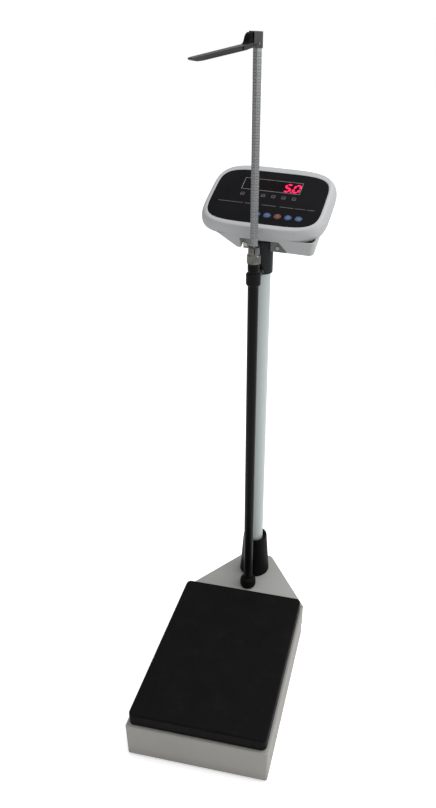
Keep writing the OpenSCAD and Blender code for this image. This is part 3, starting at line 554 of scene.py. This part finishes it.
def graduations():
    """Marks every millimetre on both front faces, with a number at each centimetre."""
    v, f = [], []
    first, last, edge = int(low("ruler_tube")) + 6, int(high("ruler_tube")) - 24, -4.4
    for z in range(first, last):
        step = z - first
        length = 8.8 if step % 10 == 0 else 7.4 if step % 5 == 0 else 2.8
        half = 0.38 if step % 5 == 0 else 0.11
        for place in (on_left, on_right):
            stroke(v, f, place, edge, edge + length, z - half, z + half)
        if step % 10 == 0:
            for place in (on_left, on_right):
                number(v, f, place, f"{70 + step // 10:03d}", 1.65, z + 2.4, 0.85, 1.9, 0.13)
    finish_mesh("ruler_graduations", mesh_of("ruler_graduations", v, f), "ink", body="ruler",
                slot="ruler_aluminium")


def joint(name):
    return next(j for j in frame["joints"] if j["name"] == name)


def lever():
    """The lever, with the hump over its hinge in a duller black than the rest, as painted shade."""
    pin = Vector(joint("lever_fold")["pos_m"])
    droop, hump = math.radians(8.5), 3.95 * MM
    above = turn.to_3x3() @ Matrix.Rotation(droop, 3, "X") @ Vector((0, 0, 1))
    ob = refine("measuring_lever", 0.6, 3, mats=["lever", "boot"], cut=(pin + above * hump, above))
    # painted shade: faces above the cut get the boot's darker, duller black
    for p in ob.data.polygons:
        if (p.center - pin).dot(above) > hump:
            p.material_index = 1


ruler_tube()
graduations()
refine("head_cap", 0.7, 3, mats="gloss")
refine("cap_screw", 0.3, mats="dark_zinc")
refine("lever_pin", 0.3)
lever()


# ------------------------------------------------------------------ indicator, in the panel's own frame
panel = (Matrix.Translation(joint("indicator_tilt")["pos_m"]) @ Matrix.Rotation(math.radians(-4.6), 4, "Z")
         @ Matrix.Rotation(math.radians(26.5), 4, "X") @ Matrix.Translation((0, 0.035, 0.040)))
FILM, GLASS = -0.32, -1.12    # the overlay's and the window's faces below the rim's front
WINDOW_U, WINDOW_W = -1.4, 36.0


def on_panel(u, w, n):
    return tuple(panel @ Vector((u * MM, w * MM, n * MM)))


def on_film(u, w, lift):
    return on_panel(u, w, FILM + lift)


def on_glass(u, w, lift):
    return on_panel(u, w, GLASS + lift)


def bowed(hw, hh, power, w, n, count=160):
    """A loop with bowed sides and round corners, hw and hh from its middle to its sides."""
    pts = []
    for k in range(count):
        c, s = math.cos(2 * math.pi * k / count), math.sin(2 * math.pi * k / count)
        pts.append(on_panel(math.copysign(hw * abs(c) ** (2 / power), c),
                            w + math.copysign(hh * abs(s) ** (2 / power), s), n))
    return pts


def front_shell():
    recess = [(60, 40, 3, 1, GLASS), (114, 76.5, 4.7, 1, GLASS), (115.2, 77.7, 4.7, 1, -1.1),
              (115.35, 77.85, 4.7, 1, -0.35), (115.7, 78.3, 4.7, 1.05, -0.08), (116.4, 80, 4.6, 1.4, 0.0)]
    rim, rim_depth = [(117.9, 89.2, 4.2, 3, -0.05)], 20
    for t in (0.3, 0.9, 2, 3.6, 5.6, 8, 11, 14.5, 18, rim_depth):
        swell = math.sqrt(max(0.0, 1 - ((rim_depth - t) / rim_depth) ** 2))
        rim.append((117.5 + 11.5 * swell, 89 + 6.5 * swell, 4.2, 3, -t))
    back = [(129, 95.5, 4.2, 3, -21.4), (128.6, 95.1, 4.2, 3, -21.9), (126.8, 93.3, 4.2, 3, -22),
            (126.2, 92.8, 4.2, 3, -20), (118, 86, 4.2, 3, -4), (60, 40, 3, 1, -3.4)]
    v, f = loft([bowed(*p) for p in recess + rim + back], cap_start=True, cap_end=True)
    finish_mesh("front_moulding", mesh_of("front_moulding", v, f), "housing", "front_shell", angle=50)


def frame_of_strokes(v, f, place, u, w, half_u, half_w, line, lift):
    """Four strokes round a rectangle."""
    for x0, x1, y0, y1 in ((-half_u, half_u, half_w - line, half_w),
                           (-half_u, half_u, -half_w, line - half_w),
                           (-half_u, line - half_u, line - half_w, half_w - line),
                           (half_u - line, half_u, line - half_w, half_w - line)):
        stroke(v, f, place, u + x0, u + x1, w + y0, w + y1, lift)


def window_outline():
    v, f = [], []
    frame_of_strokes(v, f, on_film, WINDOW_U, WINDOW_W, 61.0, 17.4, 1.0, 0.08)
    finish_mesh("window_outline", mesh_of("window_outline", v, f), "print", body="indicator",
                slot="overlay_plastic")


def digits():
    """Six leaning digits, of which the last two are lit, with a point between them."""
    lit_v, lit_f, dark_v, dark_f = [], [], [], []
    lit_digits = {4: DIGITS[5], 5: DIGITS[0]}
    half_w, half_h, lean, shrink = 5.5, 10.6, 0.2, 0.86
    for k in range(6):
        u = -42.0 + 18.4 * k
        for s, ends in SEGMENTS.items():
            v, f = (lit_v, lit_f) if s in lit_digits.get(k, "") else (dark_v, dark_f)
            mx, my = (ends[0][0] + ends[1][0]) / 2, (ends[0][1] + ends[1][1]) / 2
            pts = []
            for px, py in ends:
                px, py = mx + (px - mx) * shrink, my + (py - my) * shrink
                pts.append((u + px * half_w + py * half_h * lean, WINDOW_W - 0.8 + py * half_h))
            bar(v, f, on_glass, pts[0], pts[1], 2.3, 0.18)
        v, f = (lit_v, lit_f) if k == 4 else (dark_v, dark_f)
        stroke(v, f, on_glass, u + 6.8, u + 10.0, WINDOW_W - 13.6, WINDOW_W - 10.4, 0.18)
    finish_mesh("lit_segments", mesh_of("lit_segments", lit_v, lit_f), "lit", body="indicator",
                slot="lamp_plastic")
    finish_mesh("unlit_segments", mesh_of("unlit_segments", dark_v, dark_f), "unlit", body="indicator",
                slot="window_plastic")


def overlay_marks():
    """A small square round each lamp, and a broken rule where the real panel is printed."""
    v, f = [], []
    for k in range(6):
        frame_of_strokes(v, f, on_film, -55 + 21.4 * k, 4.5, 3.8, 3.9, 0.8, 0.06)
    for u0, u1 in ((-98, -46), (-42, -12), (-8, 22), (30, 58), (61, 82), (85, 101)):
        stroke(v, f, on_film, u0, u1, -23.1, -22.1, 0.06)
    finish_mesh("overlay_marks", mesh_of("overlay_marks", v, f), "print_dim", body="indicator",
                slot="overlay_plastic")


def key(k):
    """A domed cap with a rim and a paler centre, and a small raised mark on it."""
    u, w, count = -9.3 + 21.2 * k, -51.0, 48
    section = [(1.99, -10.2), (1.99, -4.6), (8.8, -4.6), (8.8, -3.1), (7.2, -3.1), (7.2, 0.0), (7.1, 0.3),
               (6.8, 0.55), (6.3, 0.7), (5.6, 0.72), (5.3, 0.6), (5.1, 0.6), (3.5, 0.72), (1.6, 0.8),
               (0.01, 0.82)]
    loops = []
    for r, n in section:
        angles = [2 * math.pi * i / count for i in range(count)]
        loops.append([on_panel(u + r * math.cos(a), w + r * math.sin(a), n) for a in angles])
    colour = "orange" if k == 2 else "blue"
    mesh = mesh_of(f"key_cap_{k + 1}", *loft(loops, cap_start=True, cap_end=True))
    ob = finish_mesh(f"key_cap_{k + 1}", mesh, [colour, colour + "_centre"], f"key_{k + 1}", angle=40)
    middle, centre_r = Vector(on_panel(u, w, 0.7)), 5.25
    for p in ob.data.polygons:
        if (p.center - middle).length < centre_r * MM:
            p.material_index = 1

    v, f, half, lift = [], [], 0.35, 0.14

    def on_key(x, y, h):
        return on_panel(u + x, w + y, 0.72 + h)

    if k in (0, 3):
        stroke(v, f, on_key, -2.4, 2.4, -half, half, lift)
    if k in (0, 2):
        stroke(v, f, on_key, -half, half, -2.4, 2.4, lift)
    if k in (1, 4):
        bar(v, f, on_key, (-2.2, -1.2), (0, 1.6), half, lift)
        bar(v, f, on_key, (2.2, -1.2), (0, 1.6), half, lift)
    if k in (2, 3):
        bar(v, f, on_key, (-2, -2), (2, 2), half, lift)
    finish_mesh(f"key_symbol_{k + 1}", mesh_of(f"key_symbol_{k + 1}", v, f), "print", body=f"button_{k + 1}",
                slot=colour + "_key")


front_shell()
refine("rear_shell", 1.4, 3, smooth=40)
refine("battery_cover", 0.4)
refine("panel_overlay", 0.2, 2)
refine("display_window", 0.3, 2)
refine("status_lamps", 0.35, 3)
refine("charging_socket", 0.4)
refine("case_screws", 0.35)
window_outline()
digits()
overlay_marks()
for k in range(5):
    key(k)


# ------------------------------------------------------------------ bracket, frames and small hardware
def bracket():
    """Paler paint as painted light on the front flange's left part, and a dark top edge as painted shade under the
    housing.
    """
    ob = refine("head_bracket", 0.4, mats=["bracket", "wing_painted_light", "shade"])
    left_of, in_front_of = column.x - 20 * MM, column.y - 9 * MM
    painted_shade_z = (high("neck_sleeve") - 2.5) * MM
    for p in ob.data.polygons:
        # painted shade: the front flange's top edge, where the shadow gap under the housing lies
        if p.center.y < in_front_of and p.center.z > painted_shade_z:
            p.material_index = 2
        # painted light: the front flange's left part is paler than its shaded right part
        elif p.center.y < in_front_of and p.center.x < left_of:
            p.material_index = 1


def foot(corner):
    """Rubber pad, and a stud with its thread."""
    c = centre(f"foot_stud_{corner}")
    pad = [(18.4, 0), (19, 0.6), (18.9, 1.8), (18.2, 2.2), (18.1, 2.8), (18.6, 3.2), (16.4, 8.2), (15.8, 8.9),
           (15, 9), (6, 9), (5.01, 8.6), (5.01, 3), (0, 3), (0, 0)]
    lathe(f"foot_pad_moulding_{corner}", pad, c.x, c.y, "foot", f"foot_pad_{corner}", segments=64,
          closed=False)
    z0, z1 = low(f"foot_stud_{corner}"), high(f"foot_stud_{corner}")
    outer, root, pitch = 4.99, 4.35, 1.25
    thread = [(0, z0), (4.6, z0), (outer, z0 + 0.4), (outer, z0 + 8)]
    z = z0 + 8
    while z < z1 - 2:
        thread += [(outer, z), (outer, z + 0.35), (root, z + 0.75), (root, z + 0.9), (outer, z + pitch)]
        z += pitch
    thread += [(4.9, z1 - 0.8), (4.2, z1), (0, z1)]
    lathe(f"foot_stud_thread_{corner}", thread, c.x, c.y, "zinc", f"foot_stud_{corner}", segments=32,
          closed=False, angle=30)


bracket()
refine("bracket_screws", 0.35)
refine("tilt_bolts", 0.4)
for node in ("base_frame", "column_pedestal", "spider_frame"):
    refine(node, 1.2, 3)
for node in ("platform_pan", "cell_base_spacer"):
    refine(node, 0.5)
refine("load_cell", 0.6)
for node in ("foot_lock_nuts", "overload_stops", "base_bolts", "cell_top_bolts"):
    refine(node, 0.4)
for corner in ("fl", "fr", "rl", "rr"):
    foot(corner)

# the CAD pieces that still show get their materials
for name, ob in frame["nodes"].items():
    if not ob.hide_render:
        ob.data.materials.clear()
        ob.data.materials.append(M[FINISH[SLOT_OF[name]]])


# ------------------------------------------------------------------ floor, light and camera
def camera_only(nodes):
    """The output that is 1 where the camera looks and 0 in reflections and bounced light."""
    return nodes.new("ShaderNodeLightPath").outputs["Is Camera Ray"]


def pale_floor():
    bm = bmesh.new()
    bmesh.ops.create_grid(bm, x_segments=2, y_segments=2, size=14.0)
    mesh = bpy.data.meshes.new("floor")
    bm.to_mesh(mesh)
    bm.free()
    finish = material("floor_pale", (0.93, 0.93, 0.93), 0.9, tone=0.004, tone_scale=1.0, grain=200, bump=0.02,
                      bump_mm=0.1, rough_var=0.02, specular=0.1)
    mesh.materials.append(finish)
    tree = finish.node_tree
    lift = tree.nodes.new("ShaderNodeMath")
    lift.operation = "MULTIPLY"
    lift.inputs[1].default_value = 0.42
    tree.links.new(camera_only(tree.nodes), lift.inputs[0])
    bsdf = tree.nodes["Principled BSDF"]
    bsdf.inputs["Emission Color"].default_value = (1, 1, 1, 1)
    tree.links.new(lift.outputs["Value"], bsdf.inputs["Emission Strength"])
    floor = bpy.data.objects.new("floor", mesh)
    bpy.context.scene.collection.objects.link(floor)
    floor.location.z = -0.0002


def studio():
    """Soft light that is brighter from the right and above, and plain white to the camera."""
    world = bpy.data.worlds.new("studio")
    bpy.context.scene.world = world
    world.use_nodes = True
    nodes, link = world.node_tree.nodes, world.node_tree.links.new
    coord = nodes.new("ShaderNodeTexCoord")
    toward = nodes.new("ShaderNodeVectorMath")
    toward.operation = "DOT_PRODUCT"
    toward.inputs[1].default_value = (0.72, -0.1, 0.69)
    link(coord.outputs["Generated"], toward.inputs[0])
    soft = map_range(world.node_tree, toward.outputs["Value"], -0.6, 1.0, 0.38, 1.05)
    pick = nodes.new("ShaderNodeMix")
    link(camera_only(nodes), pick.inputs["Factor"])
    link(soft, pick.inputs["A"])
    pick.inputs["B"].default_value = 1.0
    nodes["Background"].inputs["Color"].default_value = (1.0, 1.0, 1.0, 1)
    link(pick.outputs["Result"], nodes["Background"].inputs["Strength"])


def area_light(name, place, aim, size, power):
    light = bpy.data.lights.new(name, "AREA")
    light.shape, light.size, light.energy = "DISK", size, power
    ob = bpy.data.objects.new(name, light)
    ob.location = place
    ob.rotation_mode = "QUATERNION"
    ob.rotation_quaternion = (Vector(aim) - Vector(place)).to_track_quat("-Z", "Y")
    bpy.context.scene.collection.objects.link(ob)


def camera(eye, yaw, pitch, roll, lens, shift):
    """A camera at eye, turned left by yaw, tipped down by pitch and rolled, all in degrees."""
    data = bpy.data.cameras.new("camera")
    data.sensor_fit, data.sensor_width, data.lens = "AUTO", 36.0, lens
    data.shift_x, data.shift_y = shift
    data.clip_start, data.clip_end = 0.05, 60
    cam = bpy.data.objects.new("camera", data)
    bpy.context.scene.collection.objects.link(cam)
    yaw, pitch, roll = math.radians(yaw), math.radians(pitch), math.radians(roll)
    ahead = Vector((-math.sin(yaw) * math.cos(pitch), math.cos(yaw) * math.cos(pitch), -math.sin(pitch)))
    level = Vector((math.cos(yaw), math.sin(yaw), 0))
    below = ahead.cross(level)
    right = level * math.cos(roll) + below * math.sin(roll)
    down = below * math.cos(roll) - level * math.sin(roll)
    axes = Matrix((right, -down, -ahead)).transposed().to_4x4()
    cam.matrix_world = Matrix.Translation(eye) @ axes
    bpy.context.scene.camera = cam


pale_floor()
studio()
area_light("overhead", (0.9, 0.9, 3.6), (0, 0.1, 0.3), size=2.6, power=55)
area_light("right_side", (2.8, 0.1, 1.7), (0, 0.2, 0.7), size=1.6, power=16)
bpy.context.scene.view_settings.view_transform = "Standard"
camera(eye=(0.29466, -1.01628, 1.38397), yaw=8.68, pitch=30.3, roll=-3.32, lens=30.658,
       shift=(-0.0993, 0.0024))
